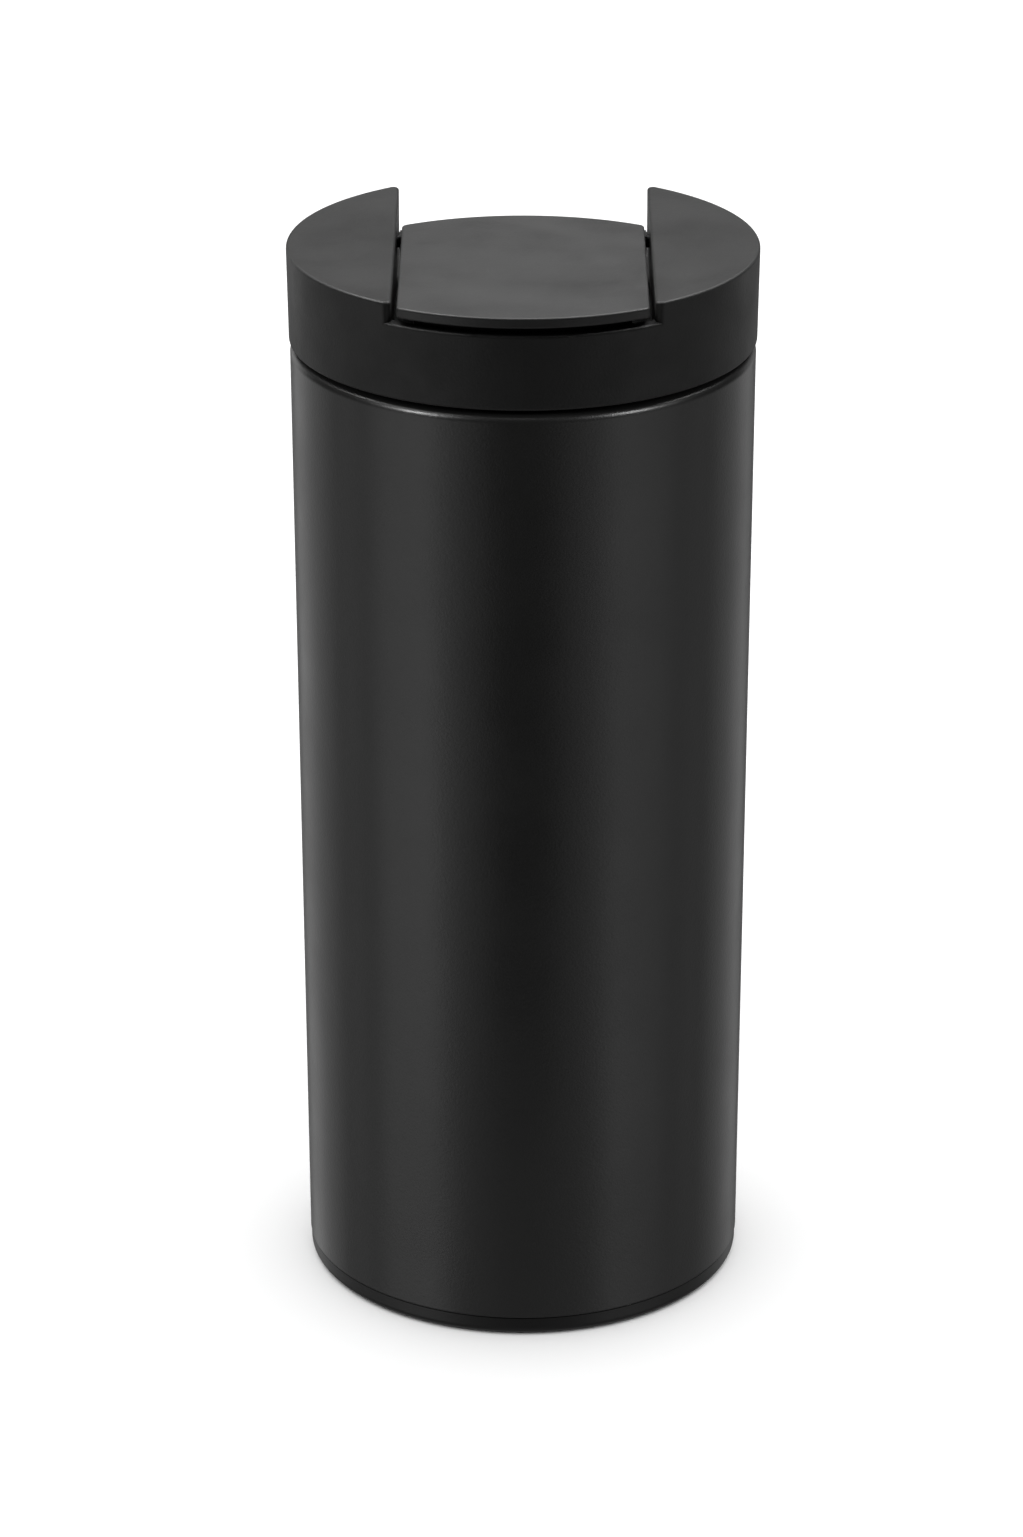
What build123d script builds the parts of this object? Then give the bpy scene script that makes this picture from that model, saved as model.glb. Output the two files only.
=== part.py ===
from build123d import *
import os

# Insulated travel mug with a screw lid and a flip tab, in millimetres.
# The origin is the middle of the base, +Z is up, and the drinking side is -Y.

# Overall sizes
height = 171.5
body_radius = 36.1          # steel body at its shoulder
body_taper = 1.0            # how much narrower the body is at its foot
lid_height = 15.0           # skirt's lower edge to the lid's top
lid_gap = 0.8               # open line between the body's shoulder and the lid
lid_overhang = 0.4          # lid's radius past the body's
lid_draft = 0.25            # how much narrower the skirt is at its lower edge

# Steel body
shell_wall = 0.5
liner_wall = 0.5
vacuum_gap = 3.2
shoulder_round = 2.0
neck_rise = 1.9             # shoulder to drinking rim
cup_floor_z = 11.5
cup_corner = 9.0
weld_gap = 0.5              # between the two necks, under the rolled rim
foil_wall = 0.1
foil_margin = 8.0           # bare liner above and below the foil
fit_gap = 0.05              # between pieces that are pressed, glued or welded together
closing_disc_z = 5.6
closing_disc_rim = 1.5
seal_hole_radius = 1.0
seal_radius = 2.6
seal_height = 0.6
getter_radius = 4.0
getter_height = 1.2
getter_offset = 14.0
bracket_wall = 0.3
bracket_margin = 1.5

# Base
base_height = 3.2
base_inset = 0.15           # base ring's radius inside the body's foot
base_round = 1.1
base_wall = 1.4
base_lift = 0.25            # how far the pad stands out below the ring
base_floor = 1.0            # thickness of the base cap's plate
pad_radius = 29.0
pad_height = 1.0
pad_groove_outside = 2 / 3   # share of the pad's radius
pad_groove_inside = 1 / 2
adhesive_height = 0.1

# Thread, right-handed with two starts
thread_lead = 8.0
thread_starts = 2
thread_turn = 0.42          # share of a turn that each ridge covers
thread_depth = 0.9
ridge_base = 1.6
ridge_crest = 0.9
ridge_root = 0.2            # how far a ridge is sunk into its wall
thread_play = 0.35          # between the loaded flanks
thread_clearance = 0.4      # between a crest and the wall it faces
thread_foot = 0.315         # plug's floor up to the start of its ridges

# Lid
skirt_clearance = 0.7       # lid's inside to the neck
seal_ring_height = 1.3
lip_groove_width = 0.3
flange_height = 1.5
deck_height = 1.8
plug_wall = 1.8
plug_depth = 10.6           # rim down to the plug's underside
plug_floor = 1.5
seal_play = 0.4
lid_round = 0.45
wing_corner = 0.9
slot_half_width = 19.7
slot_wall = 2.0
rim_drop = 3.2              # lid's top down to the drinking edge
rear_drop = 7.6             # lid's top down to the slot's rear edge
rim_land = 2.1              # width of the drinking edge
well_slope = 4.8            # how far the well's floor lies inside the drinking edge
wing_roof = 2.0

# Openings through the lid
sip_setback = 12.0          # lid's front edge to the middle of the sip hole
sip_half_length = 6.0
sip_half_width = 2.5
vent_y = 1.5
vent_radius = 1.5
channel_wall = 1.2
foam_gap = 0.3

# Flip tab
tab_clearance = 0.85        # each side of the tab in the slot
tab_setback = 0.2
tab_drop = 0.5              # lid's top down to the tab's top
tab_thickness = 1.65
tab_rear_y = 16.0
tab_corner = 1.2
tab_round = 0.35
carrier_inset = 2.6
carrier_thickness = 1.75
hinge_y = 11.5
hinge_drop = 3.4            # lid's top down to the hinge's axis
barrel_radius = 2.2
barrel_end_gap = 0.5
pin_radius = 1.0
pin_clearance = 0.05
pin_press = 0.02
pin_chamfer = 0.2
pin_grip = 1.8              # how far the pin goes into each wall
stopper_flange = 1.2        # stopper's rim over the sip hole's edge
stopper_rim_height = 1.0
stopper_depth = 2.2
stopper_clearance = 0.3
stopper_taper = 0.6
stem_radius = 1.3
stem_height = 2.2
boss_margin = 0.6

# How near an edge is to where it is looked for
edge_search = 1.0

# Heights and radii that follow
rim_z = height - lid_height - lid_gap + neck_rise
shoulder_z = height - lid_height - lid_gap
skirt_z = height - lid_height
lid_radius = body_radius + lid_overhang
cup_radius = body_radius - shell_wall - vacuum_gap - liner_wall
liner_radius = cup_radius + liner_wall
neck_radius = liner_radius + weld_gap + shell_wall
foot_radius = body_radius - body_taper
shell_inner_foot = foot_radius - shell_wall
flange_z = rim_z + seal_ring_height
deck_z = flange_z + flange_height
well_z = deck_z + deck_height
lid_bore = neck_radius + skirt_clearance
plug_radius = cup_radius - thread_depth - thread_clearance
plug_z = rim_z - plug_depth
# the liner's ridges lie half a pitch above the plug's, less what brings their flanks to the play
half_pitch = thread_lead / thread_starts / 2
plug_thread_z = plug_z + plug_floor + thread_foot
liner_thread_z = plug_thread_z + half_pitch - (half_pitch - ridge_crest - thread_play) / 2
sip_y = -(lid_radius - sip_setback)
hinge_z = height - hinge_drop
tab_top_z = height - tab_drop
tab_under_z = tab_top_z - tab_thickness
carrier_z = tab_under_z - carrier_thickness
tab_half_width = slot_half_width - tab_clearance
UP = (Align.CENTER, Align.CENTER, Align.MIN)


def disc(radius, low, high):
    return Pos(0, 0, low) * Cylinder(radius, high - low, align=UP)


def ring(outer, inner, low, high):
    return disc(outer, low, high) - disc(inner, low, high)


def turned(*corners):
    """A solid of revolution about Z from its outline in radius and height."""
    return revolve(Plane.XZ * make_face(Polyline(*corners, close=True)), Axis.Z)


def block(half_x, y_low, y_high, low, high):
    middle = Pos(0, (y_low + y_high) / 2, low)
    return middle * Box(2 * half_x, y_high - y_low, high - low, align=UP)


def oblong(half_length, half_width, low, high):
    """An upright prism with round ends, centred on the sip hole."""
    outline = SlotOverall(2 * half_length, 2 * half_width)
    return Pos(0, sip_y, low) * extrude(outline, amount=high - low)


def along_x(radius, half_length):
    rod = Rot(0, 90, 0) * Cylinder(radius, 2 * half_length)
    return Pos(0, hinge_y, hinge_z) * rod


def thread_ridges(wall_radius, inward, low):
    """Equal helical ridges on a round wall, one for each start."""
    side = -1 if inward else 1
    start_radius = wall_radius - side * ridge_root
    path = Pos(0, 0, low + ridge_base / 2) * Helix(
        pitch=thread_lead, height=thread_lead * thread_turn, radius=start_radius
    )
    reach = side * (thread_depth + ridge_root)
    section = Polygon(
        (0, -ridge_base / 2),
        (reach, -ridge_crest / 2),
        (reach, ridge_crest / 2),
        (0, ridge_base / 2),
        align=None,
    )
    face = Plane(origin=path @ 0, x_dir=(1, 0, 0), z_dir=path % 0) * section
    ridge = sweep(face, path=path, is_frenet=True)
    return [Rot(0, 0, 360 * start / thread_starts) * ridge for start in range(thread_starts)]


def outer_shell():
    slope = body_taper / (shoulder_z - base_height)
    outer = turned(
        (0, base_height), (foot_radius, base_height), (body_radius, shoulder_z), (0, shoulder_z)
    )
    outer = fillet(outer.edges().group_by(Axis.Z)[-1], shoulder_round)
    inner_top = shoulder_z - shell_wall
    inner = turned(
        (0, base_height),
        (shell_inner_foot, base_height),
        (body_radius - shell_wall - slope * shell_wall, inner_top),
        (0, inner_top),
    )
    inner = fillet(inner.edges().group_by(Axis.Z)[-1], shoulder_round - shell_wall)
    neck_bore = neck_radius - shell_wall
    neck = ring(neck_radius, neck_bore, shoulder_z - shell_wall, rim_z - liner_wall)
    return outer - inner - disc(neck_bore, inner_top - shell_wall, shoulder_z) + neck


def inner_liner():
    bottom_z = cup_floor_z - liner_wall
    outside = disc(liner_radius, bottom_z, rim_z)
    outside = fillet(outside.edges().group_by(Axis.Z)[0], cup_corner + liner_wall)
    inside = disc(cup_radius, cup_floor_z, rim_z)
    inside = fillet(inside.edges().group_by(Axis.Z)[0], cup_corner)
    lip = ring(neck_radius, cup_radius, rim_z - liner_wall, rim_z)
    lip = fillet(lip.edges().group_by(Axis.Z)[-1].sort_by(SortBy.RADIUS)[-1], liner_wall / 2)
    return (outside - inside + lip).fuse(*thread_ridges(cup_radius, True, liner_thread_z))


def radiation_foil():
    bore = liner_radius + fit_gap
    low = cup_floor_z + cup_corner + foil_margin
    return ring(bore + foil_wall, bore, low, shoulder_z - foil_margin)


def outer_bottom():
    radius = shell_inner_foot - fit_gap
    plate = disc(radius, closing_disc_z, closing_disc_z + shell_wall)
    rim = ring(radius, radius - shell_wall, closing_disc_z - closing_disc_rim, closing_disc_z)
    return plate + rim - disc(seal_hole_radius, closing_disc_z, closing_disc_z + shell_wall)


def vacuum_seal():
    bead = disc(seal_radius, closing_disc_z - seal_height, closing_disc_z)
    return bead + disc(seal_hole_radius - fit_gap, closing_disc_z, closing_disc_z + shell_wall)


def getter_bracket():
    plate_z = closing_disc_z + shell_wall
    tray = disc(getter_radius + bracket_margin, plate_z, plate_z + bracket_wall)
    wall_top = plate_z + getter_height
    inner = getter_radius + fit_gap
    return Pos(getter_offset, 0, 0) * (tray + ring(inner + bracket_wall, inner, plate_z, wall_top))


def getter():
    low = closing_disc_z + shell_wall + bracket_wall
    pill = disc(getter_radius, low, low + getter_height)
    return Pos(getter_offset, 0, 0) * fillet(pill.edges().group_by(Axis.Z)[-1], bracket_wall)


def base_cap():
    outer = disc(foot_radius - base_inset, base_lift, base_height)
    outer = fillet(outer.edges().group_by(Axis.Z)[0], base_round)
    plate_z = pad_height + adhesive_height
    spigot_radius = shell_inner_foot - fit_gap
    spigot_top = closing_disc_z - closing_disc_rim
    spigot = disc(spigot_radius, base_height, spigot_top)
    hollow = disc(spigot_radius - base_wall, plate_z + base_floor, spigot_top)
    return outer + spigot - hollow - disc(pad_radius + fit_gap, base_lift, plate_z)


def base_pad():
    pad = disc(pad_radius, 0, pad_height)
    groove = ring(pad_radius * pad_groove_outside, pad_radius * pad_groove_inside, 0, pad_height / 2)
    return pad - groove


def pad_adhesive():
    return disc(pad_radius - fit_gap, pad_height, pad_height + adhesive_height)


def lid_seal():
    bore = plug_radius + seal_play
    band = ring(neck_radius + seal_play, bore, rim_z, flange_z)
    groove_z = rim_z + seal_ring_height / 2
    half_groove = lip_groove_width / 2
    lip_groove = ring(neck_radius + seal_play, neck_radius, groove_z - half_groove, groove_z + half_groove)
    return band - lip_groove


def well_cut():
    """What the slot removes: a level trough across the lid, and a sloped well inside its edges."""
    front_z = height - rim_drop
    rear_z = height - rear_drop
    edge = lid_radius - rim_land
    bowl = turned((0, well_z), (edge - well_slope, well_z), (edge, front_z), (edge, height), (0, height))
    reach = 2 * lid_radius
    over_rim = block(slot_half_width, -reach, 0, front_z, height)
    over_rear = block(slot_half_width, 0, reach, rear_z, height)
    return (bowl & block(slot_half_width, -reach, reach, well_z, height)) + over_rim + over_rear


def beyond(x, low, high):
    """Everything on the lid past a plane at x, between two heights."""
    return Pos(x, 0, low) * Box(
        lid_radius, 4 * lid_radius, high - low, align=(Align.MIN, Align.CENTER, Align.MIN)
    )


def wing():
    """The raised, hollow part of the lid on the +X side of the slot, down to the deck."""
    side = lid_blank() & beyond(slot_half_width, deck_z, height)
    upright = [e for e in side.edges() if abs(e.center().Z - (deck_z + height) / 2) < edge_search]
    corners = [e for e in upright if abs(e.center().X - slot_half_width) < fit_gap]
    side = fillet(corners, wing_corner)
    side = fillet(side.edges().group_by(Axis.Z)[-1], lid_round)
    roof_z = height - wing_roof
    room = disc(lid_radius - slot_wall, deck_z, roof_z)
    side = side - (room & beyond(slot_half_width + slot_wall, deck_z, roof_z))
    return side - along_x(pin_radius + pin_press, slot_half_width + pin_grip)


def lid_blank():
    foot = lid_radius - lid_draft
    return turned((0, skirt_z), (foot, skirt_z), (lid_radius, height), (0, height))


def lid_cover():
    blank = lid_blank()
    blank = fillet(blank.edges().group_by(Axis.Z)[0], lid_round)
    under_wings = slot_half_width + 2 * wing_corner
    front = block(under_wings, -2 * lid_radius, 0, skirt_z, height - rim_drop)
    rear = block(under_wings, 0, 2 * lid_radius, skirt_z, height - rear_drop)
    middle = (blank & (front + rear)) - well_cut()
    rim_edges = [
        e for e in middle.edges()
        if e.geom_type == GeomType.CIRCLE
        and e.radius > lid_radius - rim_land - edge_search
        and e.bounding_box().min.Z > height - rear_drop - fit_gap
    ]
    middle = fillet(rim_edges, lid_round)
    below = blank & disc(2 * lid_radius, skirt_z, deck_z)
    half = (middle + below + wing()) & beyond(0, skirt_z, height)
    half = half - disc(lid_bore, skirt_z, deck_z)
    half = half - oblong(sip_half_length, sip_half_width, deck_z, well_z)
    half = half - Pos(0, vent_y, 0) * disc(vent_radius, deck_z, well_z)
    return half + mirror(half, Plane.YZ)


def channels(extra, low, high):
    """The sip hole's and the vent's passages through the plug, widened by extra."""
    sip = oblong(sip_half_length + extra, sip_half_width + extra, low, high)
    return sip + Pos(0, vent_y, 0) * disc(vent_radius + extra, low, high)


def lid_plug():
    floor_top = plug_z + plug_floor
    flange = disc(lid_bore - fit_gap, flange_z, deck_z)
    wall = ring(plug_radius, plug_radius - plug_wall, floor_top, flange_z)
    tubes = channels(channel_wall, floor_top, flange_z)
    body = (flange + wall + tubes).fuse(*thread_ridges(plug_radius, False, plug_thread_z))
    return body - channels(0, floor_top, deck_z)


def plug_bottom():
    plate = disc(plug_radius, plug_z, plug_z + plug_floor)
    plate = fillet(plate.edges().group_by(Axis.Z)[0], plug_floor / 2)
    return plate - channels(0, plug_z, plug_z + plug_floor)


def lid_insulation():
    radius = plug_radius - plug_wall - foam_gap
    foam = disc(radius, plug_z + plug_floor, flange_z)
    return foam - channels(channel_wall + foam_gap, plug_z + plug_floor, flange_z)


def hinge_pin():
    pin = along_x(pin_radius, slot_half_width + pin_grip - fit_gap)
    return chamfer(pin.edges().filter_by(GeomType.CIRCLE), pin_chamfer)


def tab_outline(inset):
    """The tab seen from above: the lid's own round at the front and again at the rear."""
    radius = lid_radius - tab_setback - inset
    rear_middle = tab_rear_y - (lid_radius - tab_setback)
    half = tab_half_width - inset
    lens = Circle(radius) & (Pos(0, rear_middle, 0) * Circle(radius))
    return lens & Rectangle(2 * half, 4 * lid_radius)


def flip_tab():
    outline = tab_outline(0)
    outline = fillet(outline.vertices(), tab_corner)
    plate = Pos(0, 0, tab_under_z) * extrude(outline, amount=tab_thickness)
    return fillet(plate.edges().group_by(Axis.Z)[-1] + plate.edges().group_by(Axis.Z)[0], tab_round)


def tab_carrier():
    outline = tab_outline(carrier_inset)
    plate = Pos(0, 0, carrier_z) * extrude(outline, amount=carrier_thickness)
    plate = plate & block(lid_radius, -lid_radius, hinge_y, carrier_z, tab_under_z)
    barrel = along_x(barrel_radius, slot_half_width - barrel_end_gap)
    barrel = barrel & block(lid_radius, -lid_radius, lid_radius, hinge_z - lid_height, tab_under_z)
    boss_z = well_z + stopper_rim_height
    grow = stopper_flange - boss_margin
    boss = oblong(sip_half_length + grow, sip_half_width + grow, boss_z, carrier_z)
    vent_boss = Pos(0, vent_y, 0) * disc(vent_radius + grow, boss_z, carrier_z)
    stems = disc(stem_radius + fit_gap, boss_z, boss_z + stem_height + fit_gap)
    sockets = (Pos(0, sip_y, 0) * stems) + (Pos(0, vent_y, 0) * stems)
    return plate + barrel + boss + vent_boss - sockets - along_x(pin_radius + pin_clearance, lid_radius)


def sip_stopper():
    top = well_z + stopper_rim_height
    rim = oblong(sip_half_length + stopper_flange, sip_half_width + stopper_flange, well_z, top)
    half_length = sip_half_length - stopper_clearance
    half_width = sip_half_width - stopper_clearance
    upper = Pos(0, sip_y, well_z) * SlotOverall(2 * half_length, 2 * half_width)
    lower = Pos(0, sip_y, well_z - stopper_depth) * SlotOverall(
        2 * (half_length - stopper_taper), 2 * (half_width - stopper_taper)
    )
    plug = loft([lower.face(), upper.face()])
    return rim + plug + Pos(0, sip_y, 0) * disc(stem_radius, top, top + stem_height)


def vent_seal():
    top = well_z + stopper_rim_height
    pad = disc(vent_radius + stopper_flange, well_z, top)
    return Pos(0, vent_y, 0) * (pad + disc(stem_radius, top, top + stem_height))


pieces = [
    outer_shell, inner_liner, radiation_foil, outer_bottom, vacuum_seal, getter_bracket, getter,
    base_cap, base_pad, pad_adhesive, lid_seal, lid_cover, lid_plug, plug_bottom, lid_insulation,
    hinge_pin, flip_tab, tab_carrier, sip_stopper, vent_seal,
]

os.makedirs("parts", exist_ok=True)
for piece in pieces:
    export_step(piece(), f"parts/{piece.__name__}.step")
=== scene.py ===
import math

import bmesh
import bpy
import numpy as np
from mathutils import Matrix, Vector


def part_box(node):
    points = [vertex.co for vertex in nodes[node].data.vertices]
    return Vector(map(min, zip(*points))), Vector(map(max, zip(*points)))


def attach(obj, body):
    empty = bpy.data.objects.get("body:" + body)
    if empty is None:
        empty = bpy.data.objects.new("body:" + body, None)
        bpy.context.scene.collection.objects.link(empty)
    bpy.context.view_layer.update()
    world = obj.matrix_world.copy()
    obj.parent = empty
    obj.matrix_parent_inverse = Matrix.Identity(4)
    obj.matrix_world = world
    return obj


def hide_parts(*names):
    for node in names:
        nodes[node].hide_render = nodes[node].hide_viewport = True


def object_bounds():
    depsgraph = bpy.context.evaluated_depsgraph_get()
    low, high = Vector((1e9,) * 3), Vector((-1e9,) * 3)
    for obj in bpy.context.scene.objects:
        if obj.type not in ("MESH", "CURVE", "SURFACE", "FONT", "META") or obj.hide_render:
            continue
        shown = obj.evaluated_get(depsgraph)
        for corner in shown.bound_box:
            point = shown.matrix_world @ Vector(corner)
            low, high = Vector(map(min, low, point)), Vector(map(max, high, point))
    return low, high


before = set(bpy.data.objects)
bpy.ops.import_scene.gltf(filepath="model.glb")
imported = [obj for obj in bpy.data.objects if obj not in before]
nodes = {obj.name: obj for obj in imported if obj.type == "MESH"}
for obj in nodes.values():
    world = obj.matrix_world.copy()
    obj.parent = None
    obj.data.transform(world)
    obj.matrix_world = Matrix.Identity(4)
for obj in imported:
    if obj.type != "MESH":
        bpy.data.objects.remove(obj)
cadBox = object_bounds()
mm = 0.001
print("frame loaded:", len(nodes), "CAD nodes")


class Finish:
    # one principled shader with procedural layers on Object coordinates

    def __init__(self, name):
        self.material = bpy.data.materials.new(name)
        self.material.use_nodes = True
        self.tree = self.material.node_tree
        self.tree.nodes.clear()
        output = self.tree.nodes.new("ShaderNodeOutputMaterial")
        self.shader = self.tree.nodes.new("ShaderNodeBsdfPrincipled")
        self.link(self.shader.outputs[0], output.inputs["Surface"])
        self.coordinates = self.tree.nodes.new("ShaderNodeTexCoord").outputs["Object"]

    def link(self, source, target):
        self.tree.links.new(source, target)

    def vectorMath(self, operation, first, *others):
        node = self.tree.nodes.new("ShaderNodeVectorMath")
        node.operation = operation
        self.link(first, node.inputs[0])
        for socket, other in zip(node.inputs[1:], others):
            if isinstance(other, tuple):
                socket.default_value = other
            else:
                self.link(other, socket)
        return node

    def turnedMarks(self, along):
        # lathe marks: distance from the axis, height, and a little of x and y so that a mark ends
        flat = self.vectorMath("MULTIPLY", self.coordinates, (1, 1, 0))
        radius = self.vectorMath("LENGTH", flat.outputs[0]).outputs["Value"]
        height = self.tree.nodes.new("ShaderNodeSeparateXYZ")
        self.link(self.coordinates, height.inputs[0])
        joined = self.tree.nodes.new("ShaderNodeCombineXYZ")
        self.link(radius, joined.inputs["X"])
        self.link(height.outputs["Z"], joined.inputs["Z"])
        share = (along, along, 0)
        smear = self.vectorMath("MULTIPLY_ADD", self.coordinates, share, joined.outputs[0])
        return smear.outputs[0]

    def noise(self, scale, detail=2.0, roughness=0.5, vector=None):
        node = self.tree.nodes.new("ShaderNodeTexNoise")
        node.inputs["Scale"].default_value = scale
        node.inputs["Detail"].default_value = detail
        node.inputs["Roughness"].default_value = roughness
        self.link(vector or self.coordinates, node.inputs["Vector"])
        return node.outputs["Fac"]

    def cells(self, scale, feature="F1"):
        node = self.tree.nodes.new("ShaderNodeTexVoronoi")
        node.feature = feature
        node.inputs["Scale"].default_value = scale
        self.link(self.coordinates, node.inputs["Vector"])
        return node.outputs["Distance"]

    def ramp(self, value, low, high, toLow, toHigh):
        node = self.tree.nodes.new("ShaderNodeMapRange")
        node.clamp = True
        ends = {"From Min": low, "From Max": high, "To Min": toLow, "To Max": toHigh}
        for socket, number in ends.items():
            node.inputs[socket].default_value = number
        self.link(value, node.inputs["Value"])
        return node.outputs["Result"]

    def colour(self, factor, first, second):
        node = self.tree.nodes.new("ShaderNodeMix")
        node.data_type = "RGBA"
        node.inputs["A"].default_value = (*first, 1)
        node.inputs["B"].default_value = (*second, 1)
        self.link(factor, node.inputs["Factor"])
        self.link(node.outputs["Result"], self.shader.inputs["Base Color"])

    def rough(self, value, between, low=0.3, high=0.7):
        # noise stays mostly from low to high, and that stretch fills the range of roughness
        self.link(self.ramp(value, low, high, *between), self.shader.inputs["Roughness"])

    def bumps(self, *layers):
        # each layer: height, strength, depth in metres
        normal = None
        for height, strength, depth in layers:
            node = self.tree.nodes.new("ShaderNodeBump")
            node.inputs["Strength"].default_value = strength
            node.inputs["Distance"].default_value = depth
            self.link(height, node.inputs["Height"])
            if normal:
                self.link(normal, node.inputs["Normal"])
            normal = node.outputs["Normal"]
        self.link(normal, self.shader.inputs["Normal"])

    def fixed(self, values):
        for socket, number in values.items():
            self.shader.inputs[socket].default_value = number


def moulded(name, look):
    # powder coat, plastic or rubber: mottled colour, uneven sheen, fine grain over a slow ripple
    made = Finish(name)
    made.colour(made.noise(look["mottle"], detail=3), look["dark"], look["light"])
    made.rough(made.noise(look["patches"], detail=4, roughness=0.6), look["rough"])
    grainScale, *grainDepth = look["grain"]
    rippleScale, *rippleDepth = look["ripple"]
    grain, ripple = made.noise(grainScale, detail=2), made.noise(rippleScale, detail=1)
    made.bumps((grain, *grainDepth), (ripple, *rippleDepth))
    made.fixed(look.get("fixed", {}))
    return made.material


def brushed(name, look):
    # turned or polished metal: fine rings around the axis, with cloudier patches
    made = Finish(name)
    marks = made.noise(look["marks"], 2, 0.6, made.turnedMarks(look["along"]))
    made.colour(marks, look["dark"], look["light"])
    clouds = made.noise(look["patches"], 3, 0.6, made.turnedMarks(look["along"] * 3))
    made.rough(clouds, look["rough"])
    made.bumps((marks, *look["depth"]), (made.noise(look["patches"], detail=2), *look["ripple"]))
    made.fixed({"Metallic": 1.0, **look.get("fixed", {})})
    return made.material


def celled(name, look):
    # foam, foil and sintered pills: cells with walls between them, darkened by their depth as
    # painted shade
    made = Finish(name)
    cell = made.cells(look["cells"], look["feature"])
    # painted shade: darker where each cell lies deepest; the same value is the bumps' height
    shade = made.ramp(cell, *look["reach"], 0, 1)
    made.colour(shade, look["dark"], look["light"])
    made.rough(made.noise(look["patches"], detail=3), look["rough"])
    made.bumps((shade, *look["depth"]), (made.noise(look["patches"], detail=3), *look["ripple"]))
    made.fixed(look.get("fixed", {}))
    return made.material


def paint(node, material):
    piece = nodes[node]
    if not piece.material_slots:
        piece.data.materials.append(material)
    for slot in piece.material_slots:
        slot.material = material


# dark and light are the colours' ends; mottle, patches and a layer's first number are noise scales;
# grain and ripple are a noise scale, a bump's strength and its depth in metres
mouldedLooks = {
    "powder_coat_black": {
        "dark": (0.0038, 0.0038, 0.0038), "light": (0.0068, 0.0068, 0.0066), "mottle": 60,
        "rough": (0.28, 0.36), "patches": 45,
        "grain": (2600, 0.34, 0.00006), "ripple": (900, 0.10, 0.0001),
    },
    # the base ring's own black coat, made darker than the body's as painted shade for the shadowed
    # floor near the foot
    "base_coat_with_painted_shade": {
        "dark": (0.003, 0.003, 0.003), "light": (0.0055, 0.0055, 0.0055), "mottle": 90,
        "rough": (0.36, 0.42), "patches": 60, "fixed": {"Specular IOR Level": 0.4},
        "grain": (5200, 0.18, 0.00006), "ripple": (1000, 0.05, 0.0001),
    },
    "lid_plastic_black": {
        "dark": (0.0145, 0.0145, 0.0145), "light": (0.0245, 0.0245, 0.024), "mottle": 110,
        "rough": (0.47, 0.60), "patches": 80, "fixed": {"Specular IOR Level": 0.38},
        "grain": (2400, 0.5, 0.00006), "ripple": (800, 0.12, 0.0001),
    },
    "tab_plastic_black": {
        "dark": (0.020, 0.020, 0.020), "light": (0.027, 0.027, 0.0265), "mottle": 80,
        "rough": (0.44, 0.56), "patches": 90, "fixed": {"Specular IOR Level": 0.54},
        "grain": (2400, 0.46, 0.00006), "ripple": (800, 0.10, 0.0001),
    },
    "carrier_plastic_black": {
        "dark": (0.010, 0.010, 0.010), "light": (0.016, 0.016, 0.016), "mottle": 90,
        "rough": (0.42, 0.52), "patches": 80,
        "grain": (2400, 0.4, 0.00006), "ripple": (800, 0.08, 0.0001),
    },
    "plug_plastic_grey": {
        "dark": (0.105, 0.108, 0.112), "light": (0.125, 0.128, 0.132), "mottle": 75,
        "rough": (0.38, 0.5), "patches": 65,
        "grain": (5600, 0.18, 0.00005), "ripple": (1000, 0.05, 0.0001),
    },
    "plug_floor_grey": {
        "dark": (0.085, 0.088, 0.092), "light": (0.105, 0.108, 0.112), "mottle": 85,
        "rough": (0.3, 0.42), "patches": 70,
        "grain": (5200, 0.14, 0.00005), "ripple": (850, 0.06, 0.0001),
    },
    "pad_rubber_black": {
        "dark": (0.013, 0.013, 0.013), "light": (0.021, 0.021, 0.020), "mottle": 110,
        "rough": (0.72, 0.86), "patches": 120, "fixed": {"Specular IOR Level": 0.35},
        "grain": (3800, 0.4, 0.00008), "ripple": (1400, 0.12, 0.0001),
    },
    "adhesive_milky": {
        "dark": (0.55, 0.53, 0.46), "light": (0.68, 0.66, 0.60), "mottle": 260,
        "rough": (0.35, 0.5), "patches": 150,
        "grain": (2600, 0.2, 0.00006), "ripple": (500, 0.1, 0.0001),
    },
    "seal_silicone_smoke": {
        "dark": (0.30, 0.305, 0.31), "light": (0.37, 0.375, 0.38), "mottle": 140,
        "rough": (0.44, 0.56), "patches": 100,
        "fixed": {"Subsurface Weight": 0.2, "Subsurface Scale": 0.0012, "Sheen Weight": 0.08},
        "grain": (3400, 0.16, 0.00005), "ripple": (700, 0.08, 0.0001),
    },
    "stopper_silicone_dark": {
        "dark": (0.035, 0.036, 0.038), "light": (0.050, 0.051, 0.053), "mottle": 150,
        "rough": (0.46, 0.58), "patches": 110, "fixed": {"Sheen Weight": 0.1},
        "grain": (3600, 0.18, 0.00005), "ripple": (800, 0.08, 0.0001),
    },
    "solder_glass_bead": {
        "dark": (0.10, 0.12, 0.10), "light": (0.16, 0.18, 0.15), "mottle": 420,
        "rough": (0.10, 0.22), "patches": 300,
        "fixed": {"Coat Weight": 0.4, "Coat Roughness": 0.08},
        "grain": (1900, 0.12, 0.00008), "ripple": (600, 0.2, 0.00012),
    },
}
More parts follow.
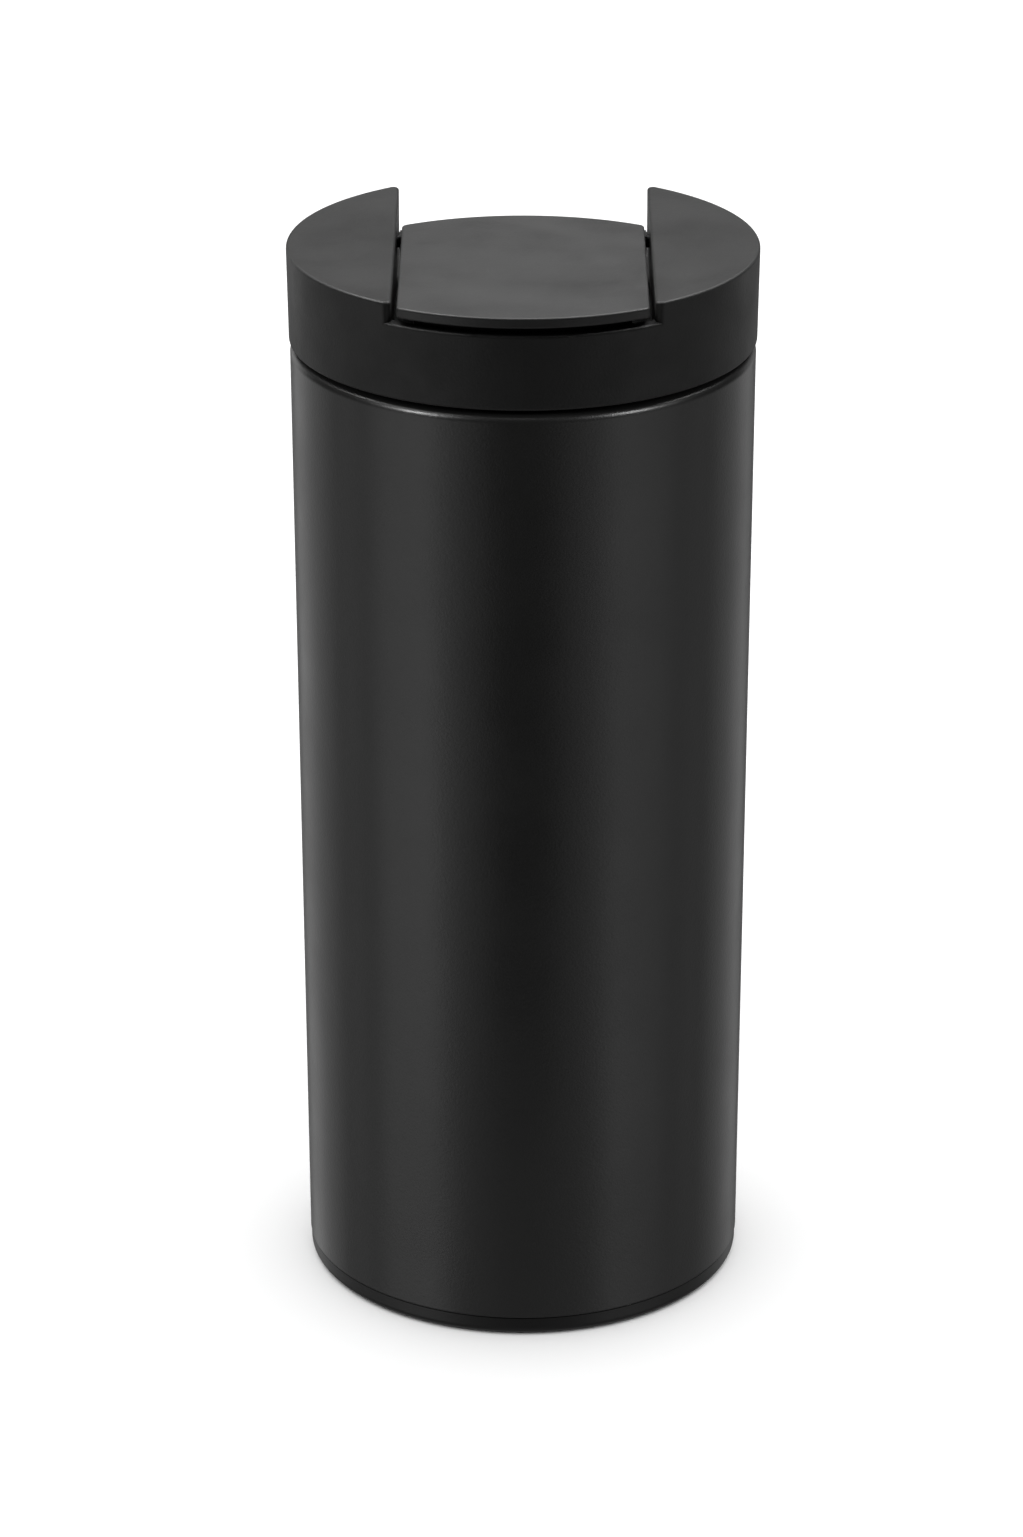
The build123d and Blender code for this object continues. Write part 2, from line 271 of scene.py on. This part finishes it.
# along is how much of x and y bends the rings; depth and ripple are a bump's strength and depth
brushedLooks = {
    "steel_polished_turned": {
        "dark": (0.50, 0.495, 0.48), "light": (0.63, 0.62, 0.60), "marks": 3400, "along": 0.02,
        "rough": (0.20, 0.30), "patches": 90, "depth": (0.10, 0.00002), "ripple": (0.03, 0.0001),
        "fixed": {"Anisotropic": 0.4},
    },
    "steel_bottom_satin": {
        "dark": (0.36, 0.355, 0.345), "light": (0.47, 0.465, 0.45), "marks": 2600, "along": 0.03,
        "rough": (0.34, 0.46), "patches": 120, "depth": (0.16, 0.00003), "ripple": (0.05, 0.0001),
        "fixed": {"Anisotropic": 0.3},
    },
    "bracket_steel_pressed": {
        "dark": (0.42, 0.42, 0.41), "light": (0.54, 0.54, 0.53), "marks": 1800, "along": 0.5,
        "rough": (0.26, 0.38), "patches": 260, "depth": (0.08, 0.00003), "ripple": (0.08, 0.0001),
    },
    "pin_steel_blackened": {
        "dark": (0.020, 0.020, 0.021), "light": (0.036, 0.036, 0.037), "marks": 5200, "along": 0.8,
        "rough": (0.38, 0.50), "patches": 400, "depth": (0.10, 0.00002), "ripple": (0.04, 0.00005),
    },
}
# reach is the stretch of a cell's distance that runs from dark painted shade to light
celledLooks = {
    "foil_crinkled": {
        "cells": 260, "feature": "DISTANCE_TO_EDGE", "reach": (0.0, 0.35),
        "dark": (0.70, 0.70, 0.71), "light": (0.86, 0.86, 0.87), "patches": 420,
        "rough": (0.10, 0.24), "depth": (0.5, 0.00025), "ripple": (0.25, 0.0002),
        "fixed": {"Metallic": 1.0},
    },
    "foam_open_cell": {
        "cells": 1500, "feature": "F1", "reach": (0.1, 0.75),
        "dark": (0.34, 0.32, 0.26), "light": (0.66, 0.63, 0.54), "patches": 240,
        "rough": (0.82, 0.95), "depth": (0.7, 0.0004), "ripple": (0.3, 0.0003),
        "fixed": {"Subsurface Weight": 0.1, "Subsurface Scale": 0.001},
    },
    "getter_sintered": {
        "cells": 4200, "feature": "F1", "reach": (0.1, 0.8),
        "dark": (0.06, 0.06, 0.062), "light": (0.15, 0.15, 0.152), "patches": 900,
        "rough": (0.6, 0.78), "depth": (0.5, 0.00008), "ripple": (0.2, 0.0001),
        "fixed": {"Metallic": 0.6},
    },
}
finishes = {name: moulded(name, look) for name, look in mouldedLooks.items()}
finishes.update({name: brushed(name, look) for name, look in brushedLooks.items()})
finishes.update({name: celled(name, look) for name, look in celledLooks.items()})
cadFinishes = {
    "outer_shell": "powder_coat_black", "base_cap": "base_coat_with_painted_shade",
    "inner_liner": "steel_polished_turned", "radiation_foil": "foil_crinkled",
    "outer_bottom": "steel_bottom_satin", "vacuum_seal": "solder_glass_bead",
    "getter_bracket": "bracket_steel_pressed", "getter": "getter_sintered",
    "base_pad": "pad_rubber_black", "pad_adhesive": "adhesive_milky",
    "lid_seal": "seal_silicone_smoke", "lid_cover": "lid_plastic_black",
    "lid_plug": "plug_plastic_grey", "plug_bottom": "plug_floor_grey",
    "lid_insulation": "foam_open_cell", "hinge_pin": "pin_steel_blackened",
    "flip_tab": "tab_plastic_black", "tab_carrier": "carrier_plastic_black",
    "sip_stopper": "stopper_silicone_dark", "vent_seal": "stopper_silicone_dark",
}
for node, name in cadFinishes.items():
    paint(node, finishes[name])
print("finishes made:", len(finishes))


def corner(before, here, after, radius, steps=6, mostOfSide=0.45):
    # the two sides of a corner joined by an arc that touches both: a short run of points,
    # which takes up no more than a share of the shorter side
    here = np.array(here)
    toBefore, toAfter = np.array(before) - here, np.array(after) - here
    lengths = np.linalg.norm(toBefore), np.linalg.norm(toAfter)
    toBefore, toAfter = toBefore / lengths[0], toAfter / lengths[1]
    half = math.acos(np.clip(toBefore @ toAfter, -1, 1)) / 2
    reach = min(radius / math.tan(half), mostOfSide * min(lengths))
    radius = reach * math.tan(half)
    inwards = (toBefore + toAfter) / np.linalg.norm(toBefore + toAfter)
    middle = here + inwards * radius / math.sin(half)
    start, end = here + toBefore * reach - middle, here + toAfter * reach - middle
    share = np.linspace(0, 1, steps)[:, None]
    sweep = math.pi - 2 * half
    arc = (np.sin((1 - share) * sweep) * start + np.sin(share * sweep) * end) / math.sin(sweep)
    return middle + arc


def profile(corners, spacing=2.5, margin=0.12):
    # corners (radius, height, rounding) in millimetres, the solid on the left of the way they run;
    # a profile that starts and ends on the axis stays open there, any other is closed
    places = [c[:2] for c in corners]
    count = len(corners)
    endsOnAxis = places[0][0] == 0 and places[-1][0] == 0
    runs = []
    for index, (r, z, rounding) in enumerate(corners):
        if endsOnAxis and index in (0, count - 1):
            runs.append(np.array([[r, z]], float))
        else:
            after = places[(index + 1) % count]
            runs.append(corner(places[index - 1], (r, z), after, rounding))
    points = []
    for index, run in enumerate(runs):
        points.append(run)
        if endsOnAxis and index == count - 1:
            break
        start, end = run[-1], runs[(index + 1) % count][0]
        length = np.linalg.norm(end - start)
        # a ring close to each arc keeps the shading of the flat between them flat
        if length > 3 * margin:
            rings = max(2, int(length / spacing) + 2)
            inner = np.linspace(margin / length, 1 - margin / length, rings)
            points.append(start + inner[:, None] * (end - start))
    points = np.concatenate(points)
    return points if endsOnAxis else np.concatenate([points, points[:1]])


def lathe(name, points, around, shape=None):
    # position = (r cos a, r sin a, z), where r and z follow the profile and a goes once around;
    # shape may change r as a function of angle, r and z
    angle = np.linspace(0, 2 * math.pi, around + 1)
    r = np.repeat(points[:, :1], around + 1, 1)
    z = np.repeat(points[:, 1:], around + 1, 1)
    a = np.repeat(angle[None, :], len(points), 0)
    if shape:
        r = shape(a, r, z)
    surface = np.stack([r * np.cos(a), r * np.sin(a), z], -1) * mm
    return skin(name, surface)


def skin(name, surface, weld=1e-6, sliver=1e-7):
    # a grid of points as a mesh, with its seams and poles closed and its faces smooth;
    # points nearer than weld become one, and edges shorter than sliver go
    rows, columns = surface.shape[:2]
    index = np.arange(rows * columns).reshape(rows, columns)
    quads = np.stack([index[:-1, :-1], index[:-1, 1:], index[1:, 1:], index[1:, :-1]], -1)
    mesh = bpy.data.meshes.new(name)
    mesh.from_pydata(surface.reshape(-1, 3), [], quads.reshape(-1, 4).tolist())
    clean = bmesh.new()
    clean.from_mesh(mesh)
    bmesh.ops.remove_doubles(clean, verts=clean.verts, dist=weld)
    bmesh.ops.dissolve_degenerate(clean, dist=sliver, edges=clean.edges)
    clean.to_mesh(mesh)
    clean.free()
    mesh.shade_smooth()
    piece = bpy.data.objects.new(name, mesh)
    bpy.context.scene.collection.objects.link(piece)
    return piece


def settle(piece, node, body):
    # the piece takes a node's place and finish, rides on its body and fills its slot
    piece.data.materials.append(finishes[cadFinishes[node]])
    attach(piece, body)
    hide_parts(node)


def top(node):
    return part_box(node)[1][2] / mm


def foot(node):
    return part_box(node)[0][2] / mm


# how far apart two radii or two heights may be, in millimetres, and still count as the same
sameRadius = 0.01
sameHeight = 0.001


# the coated steel body: a slight cone with a rounded shoulder and a thin neck
bodyShell = {
    "shoulderRadius": 36.1, "footRadius": 35.1, "shoulderDrop": 1.4, "wall": 0.5,
    "shoulderRound": 1.4, "neckRadius": 33.4, "footRound": 0.3,
    "neckRound": 0.25, "mouthRound": 0.05, "throatRound": 0.1, "hemRound": 0.15,
    "around": 320,
}


def buildBodyShell():
    b = bodyShell
    low, high = foot("outer_shell"), top("outer_shell")
    shoulder = high - b["shoulderDrop"]
    neckIn = b["neckRadius"] - b["wall"]
    inside = shoulder - b["wall"]
    points = profile([
        (b["footRadius"], low, b["footRound"]),
        (b["shoulderRadius"], shoulder, b["shoulderRound"]),
        (b["neckRadius"], shoulder, b["neckRound"]),
        (b["neckRadius"], high, b["mouthRound"]),
        (neckIn, high, b["mouthRound"]),
        (neckIn, inside, b["throatRound"]),
        (b["shoulderRadius"] - b["wall"], inside, b["shoulderRound"] - b["wall"]),
        (b["footRadius"] - b["wall"], low, b["hemRound"]),
    ])
    settle(lathe("coated_body", points, b["around"]), "outer_shell", "mug")


# the base cap: a coated ring that stands in from the body, with the pad's recess under it
baseRing = {
    "radius": 34.95, "plateFoot": 1.1, "plateTop": 2.1, "spigotRadius": 34.55, "spigotWall": 1.4,
    "shoulderZ": 3.2, "edgeRound": 1.1, "seamRound": 0.25, "recessRadius": 29.05,
    "recessRound": 0.1, "recessEdge": 0.25, "stepRound": 0.08, "spigotRound": 0.15,
    "floorRound": 0.3, "around": 320,
}


def buildBaseRing():
    b = baseRing
    low, high = foot("base_cap"), top("base_cap")
    bore = b["spigotRadius"] - b["spigotWall"]
    points = profile([
        (0, b["plateFoot"], 0), (b["recessRadius"], b["plateFoot"], b["recessRound"]),
        (b["recessRadius"], low, b["recessEdge"]), (b["radius"], low, b["edgeRound"]),
        (b["radius"], b["shoulderZ"], b["seamRound"]),
        (b["spigotRadius"], b["shoulderZ"], b["stepRound"]),
        (b["spigotRadius"], high, b["spigotRound"]), (bore, high, b["spigotRound"]),
        (bore, b["plateTop"], b["floorRound"]), (0, b["plateTop"], 0),
    ])
    settle(lathe("base_ring", points, b["around"]), "base_cap", "mug")


# the steel cup: round-cornered floor, rolled drinking lip, and two helical ridges pressed inwards
steelCup = {
    "bore": 31.9, "wall": 0.5, "floorZ": 11.5, "corner": 9.0, "lipRadius": 33.4,
    "flareRound": 0.1, "lipUnderRound": 0.2, "lipOuterRound": 0.25, "lipInnerRound": 0.2,
    "lead": 8.0, "starts": 2, "turn": 0.42, "depth": 0.9, "ridgeBase": 1.6, "ridgeCrest": 0.9,
    "ridgeFoot": 150.44, "fade": 0.03,    # turn and fade are shares of a whole turn
    "ringSpacing": 0.12, "ringMargin": 0.1, "around": 360,
}


def threadRidge(a, r, z):
    # r less depth times a smooth hump across the ridge's helix, faded at both its ends
    s = steelCup
    hump = np.zeros_like(r)
    for start in range(s["starts"]):
        share = np.mod(a / (2 * math.pi) - start / s["starts"], 1.0)
        middle = s["ridgeFoot"] + s["ridgeBase"] / 2 + s["lead"] * share
        slope = (s["ridgeBase"] - s["ridgeCrest"]) / 2
        flank = (s["ridgeBase"] / 2 - np.abs(z - middle)) / slope
        ends = np.minimum(share, s["turn"] - share) / s["fade"]
        rise = np.clip(flank, 0, 1) * np.clip(ends, 0, 1)
        hump = np.maximum(hump, rise * rise * (3 - 2 * rise))
    inside = np.abs(r - s["bore"]) < sameRadius
    return np.where(inside, r - s["depth"] * hump, r)


def buildSteelCup():
    s = steelCup
    low, high = foot("inner_liner"), top("inner_liner")
    outside = s["bore"] + s["wall"]
    ridgeTop = s["ridgeFoot"] + s["ridgeBase"] + s["lead"] * s["turn"]
    points = profile([
        (0, low, 0), (outside, low, s["corner"] + s["wall"]),
        (outside, high - s["wall"], s["flareRound"]),
        (s["lipRadius"], high - s["wall"], s["lipUnderRound"]),
        (s["lipRadius"], high, s["lipOuterRound"]), (s["bore"], high, s["lipInnerRound"]),
        (s["bore"], s["floorZ"], s["corner"]), (0, s["floorZ"], 0),
    ])
    # the threaded stretch of the bore needs close rings
    bore = np.abs(points[:, 0] - s["bore"]) < sameRadius
    last = np.flatnonzero(bore & (points[:, 1] > ridgeTop))[-1]
    first = np.flatnonzero(bore & (points[:, 1] < s["ridgeFoot"]))[0]
    margin = s["ringMargin"]
    heights = np.arange(ridgeTop + margin, s["ridgeFoot"] - margin, -s["ringSpacing"])
    close = np.stack([np.full_like(heights, s["bore"]), heights], -1)
    points = np.concatenate([points[:last + 1], close, points[first:]])
    settle(lathe("steel_cup", points, s["around"], threadRidge), "inner_liner", "mug")


# the foot pad: a rubber disc with a wide groove and a fine concentric tread
footPad = {
    "radius": 29.0, "grooveIn": 14.5, "grooveOut": 19.3, "grooveDepth": 0.5,
    "grooveEdge": 0.15, "grooveRound": 0.12, "edgeRound": 0.3, "topRound": 0.08,
    "tread": 0.12, "treadPitch": 1.1, "treadFrom": 20.6, "treadTo": 28.0,
    "ringSpacing": 0.14, "around": 128,
}


def buildFootPad():
    f = footPad
    low, high = foot("base_pad"), top("base_pad")
    grooveTop = low + f["grooveDepth"]
    points = profile([
        (0, low, 0), (f["grooveIn"], low, f["grooveEdge"]),
        (f["grooveIn"], grooveTop, f["grooveRound"]), (f["grooveOut"], grooveTop, f["grooveRound"]),
        (f["grooveOut"], low, f["grooveEdge"]), (f["radius"], low, f["edgeRound"]),
        (f["radius"], high, f["topRound"]), (0, high, 0),
    ], f["ringSpacing"])
    r, z = points[:, 0], points[:, 1]
    wave = 0.5 - 0.5 * np.cos(2 * math.pi * (r - f["treadFrom"]) / f["treadPitch"])
    treaded = (z < low + sameHeight) & (r > f["treadFrom"]) & (r < f["treadTo"])
    points[:, 1] = np.where(treaded, z + f["tread"] * wave, z)
    settle(lathe("foot_pad", points, f["around"]), "base_pad", "mug")


# the lid's seal: a soft ring with a parting groove around its outside
lipSeal = {
    "outer": 33.8, "bore": 31.0, "round": 0.35, "groove": 0.3, "grooveDepth": 0.4,
    "grooveRound": 0.1, "ringSpacing": 0.6, "around": 256,
}


def buildLipSeal():
    s = lipSeal
    low, high = foot("lid_seal"), top("lid_seal")
    middle = (low + high) / 2
    floor = s["outer"] - s["grooveDepth"]
    points = profile([
        (s["bore"], low, s["round"]), (s["outer"], low, s["round"]),
        (s["outer"], middle - s["groove"] / 2, s["grooveRound"]),
        (floor, middle, s["grooveRound"]),
        (s["outer"], middle + s["groove"] / 2, s["grooveRound"]),
        (s["outer"], high, s["round"]), (s["bore"], high, s["round"]),
    ], s["ringSpacing"])
    settle(lathe("lip_seal", points, s["around"]), "lid_seal", "seal")


for build in (buildBodyShell, buildBaseRing, buildSteelCup, buildFootPad, buildLipSeal):
    build()
print("turned pieces made")


# pale floor, rings of softboxes above, around and below the mug, and the camera
studio = {
    "floorSize": 3.0,
    "floorLook": {"mottle": 3, "dark": (0.9, 0.9, 0.9), "light": (0.92, 0.92, 0.92), "rough": 0.9},
    "air": 0.02,     # the background's light on the mug
    "wall": 1.05,    # the background as the camera sees it
    "camera": {
        "distance": 0.8118, "height": 0.2526, "tilt": 67.254,
        "lens": 128.9, "sensor": 36, "shift": -0.00755,
    },
    # each ring: degrees round from the front towards the left, and that softbox's radiance
    "high": {75: 2.3, 120: 11.4, 165: 1.1, -120: 11.0, -165: 3.8},
    "highBox": {"size": (0.7, 0.6), "ring": 0.75, "z": 1.25, "aim": 0.1},
    # small ones, for the coated body alone, that draw the line along its shoulder
    "edge": {55: 62.0, -57: 50.0},
    "edgeBox": {"size": (0.14, 0.45), "ring": 1.2, "z": 0.75, "aim": 0.15},
    "brow": {0: 1.5},
    "browBox": {"size": (0.32, 0.32), "ring": 0.9, "z": 1.3, "aim": 0.15},
    "low": {48: 0.37, 144: 1.12, -144: 0.5},
    "lowBox": {"size": (0.25, 0.4), "ring": 1.2, "z": 0.2, "aim": 0.1},
    # below the floor's level: what a wide pale table gives back to the sides of the mug
    "table": {
        24: 0.33, 36: 0.50, 48: 1.25, 60: 0.92, 72: 0.94, 84: 0.28, 96: 0.57,
        120: 0.50, 144: 0.72, 180: 1.2, -24: 0.29, -36: 0.43, -48: 0.96, -60: 0.73,
        -72: 0.63, -84: 0.27, -96: 0.44, -120: 0.39, -144: 0.57,
    },
    "tableBox": {"size": (0.25, 0.8), "ring": 1.2, "z": -0.4, "aim": -0.4},
    "front": {0: 0.26},      # the table's front is dimmer
    "frontBox": {"size": (0.26, 0.26), "ring": 0.36, "z": -0.25, "aim": -0.25},
    "wideFrom": 100,         # a low or table box further round than this is twice as wide
    # radiance, size, place and target
    "overhead": (1.9, (4.0, 4.0), (0, 0.2, 1.2), (0, 0.2, 0)),
    "glow": (0.22, (1.2, 1.2), (0, 0, -0.6), (0, 0, 0)),    # the table's light on what faces down
}


def buildFloor():
    # position = (along, across, 0): a flat square around the mug's foot
    half, look = studio["floorSize"] / 2, studio["floorLook"]
    marks = np.linspace(-half, half, 3)
    across, along = np.meshgrid(marks, marks, indexing="ij")
    floor = skin("floor", np.stack([along, across, np.zeros_like(across)], -1))
    made = Finish("floor_white")
    made.colour(made.noise(look["mottle"], detail=2), look["dark"], look["light"])
    made.fixed({"Roughness": look["rough"]})
    floor.data.materials.append(made.material)
    # the boxes below shine up through it, and the mug neither mirrors it nor takes light from it
    floor.visible_glossy = False
    floor.visible_diffuse = False
    floor.visible_shadow = False
    return floor


def softbox(name, radiance, size, place, target):
    data = bpy.data.lights.new(name, "AREA")
    data.shape = "RECTANGLE"
    data.size, data.size_y = size
    data.energy = radiance * size[0] * size[1] * math.pi   # watts that give the face this radiance
    light = bpy.data.objects.new(name, data)
    bpy.context.scene.collection.objects.link(light)
    light.location = place
    light.rotation_euler = (Vector(target) - Vector(place)).to_track_quat("-Z", "Y").to_euler()
    light.visible_camera = False
    return light


def softboxRing(kind, lit):
    box = studio[kind + "Box"]
    for degrees, radiance in studio[kind].items():
        turn = math.radians(degrees)
        place = (-box["ring"] * math.sin(turn), -box["ring"] * math.cos(turn), box["z"])
        width, height = box["size"]
        if kind in ("low", "table") and abs(degrees) > studio["wideFrom"]:
            width *= 2
        target = (0, 0, box["aim"])
        light = softbox(f"{kind}_{degrees}", radiance, (width, height), place, target)
        light.light_linking.receiver_collection = lit


def receivers(name, piece, state="INCLUDE"):
    # what a light falls on: the piece alone, or everything but the piece
    group = bpy.data.collections.new(name)
    group.objects.link(piece)
    group.collection_objects[0].light_linking.link_state = state
    return group


def buildLights(floor):
    world = bpy.data.worlds.new("studio_air")
    bpy.context.scene.world = world
    world.use_nodes = True
    air = world.node_tree.nodes["Background"]
    air.inputs["Color"].default_value = (1, 1, 1, 1)
    # the wall behind is white to look at, and gives the mug only a little light
    seen = world.node_tree.nodes.new("ShaderNodeMapRange")
    seen.inputs["To Min"].default_value = studio["air"]
    seen.inputs["To Max"].default_value = studio["wall"]
    ray = world.node_tree.nodes.new("ShaderNodeLightPath")
    world.node_tree.links.new(ray.outputs["Is Camera Ray"], seen.inputs["Value"])
    world.node_tree.links.new(seen.outputs["Result"], air.inputs["Strength"])
    # the floor has the overhead light to itself, so that it is white and the shadow on it soft
    allButFloor = receivers("all_but_floor", floor, "EXCLUDE")
    for kind in ("high", "low", "table", "front"):
        softboxRing(kind, allButFloor)
    bodyOnly = receivers("body_only", bpy.data.objects["coated_body"])
    for kind in ("edge", "brow"):
        softboxRing(kind, bodyOnly)
    overhead = softbox("overhead", *studio["overhead"])
    overhead.light_linking.receiver_collection = receivers("floor_only", floor)
    glow = softbox("glow", *studio["glow"])
    glow.light_linking.receiver_collection = allButFloor


def buildCamera():
    view = studio["camera"]
    data = bpy.data.cameras.new("camera")
    data.sensor_width = view["sensor"]
    data.lens = view["lens"]
    data.shift_x = view["shift"]
    camera = bpy.data.objects.new("camera", data)
    camera.location = (0, -view["distance"], cadBox[1][2] + view["height"])
    camera.rotation_euler = (math.radians(view["tilt"]), 0, 0)
    bpy.context.scene.collection.objects.link(camera)
    bpy.context.scene.camera = camera
    bpy.context.scene.view_settings.view_transform = "Standard"


buildLights(buildFloor())
buildCamera()
print("studio ready")
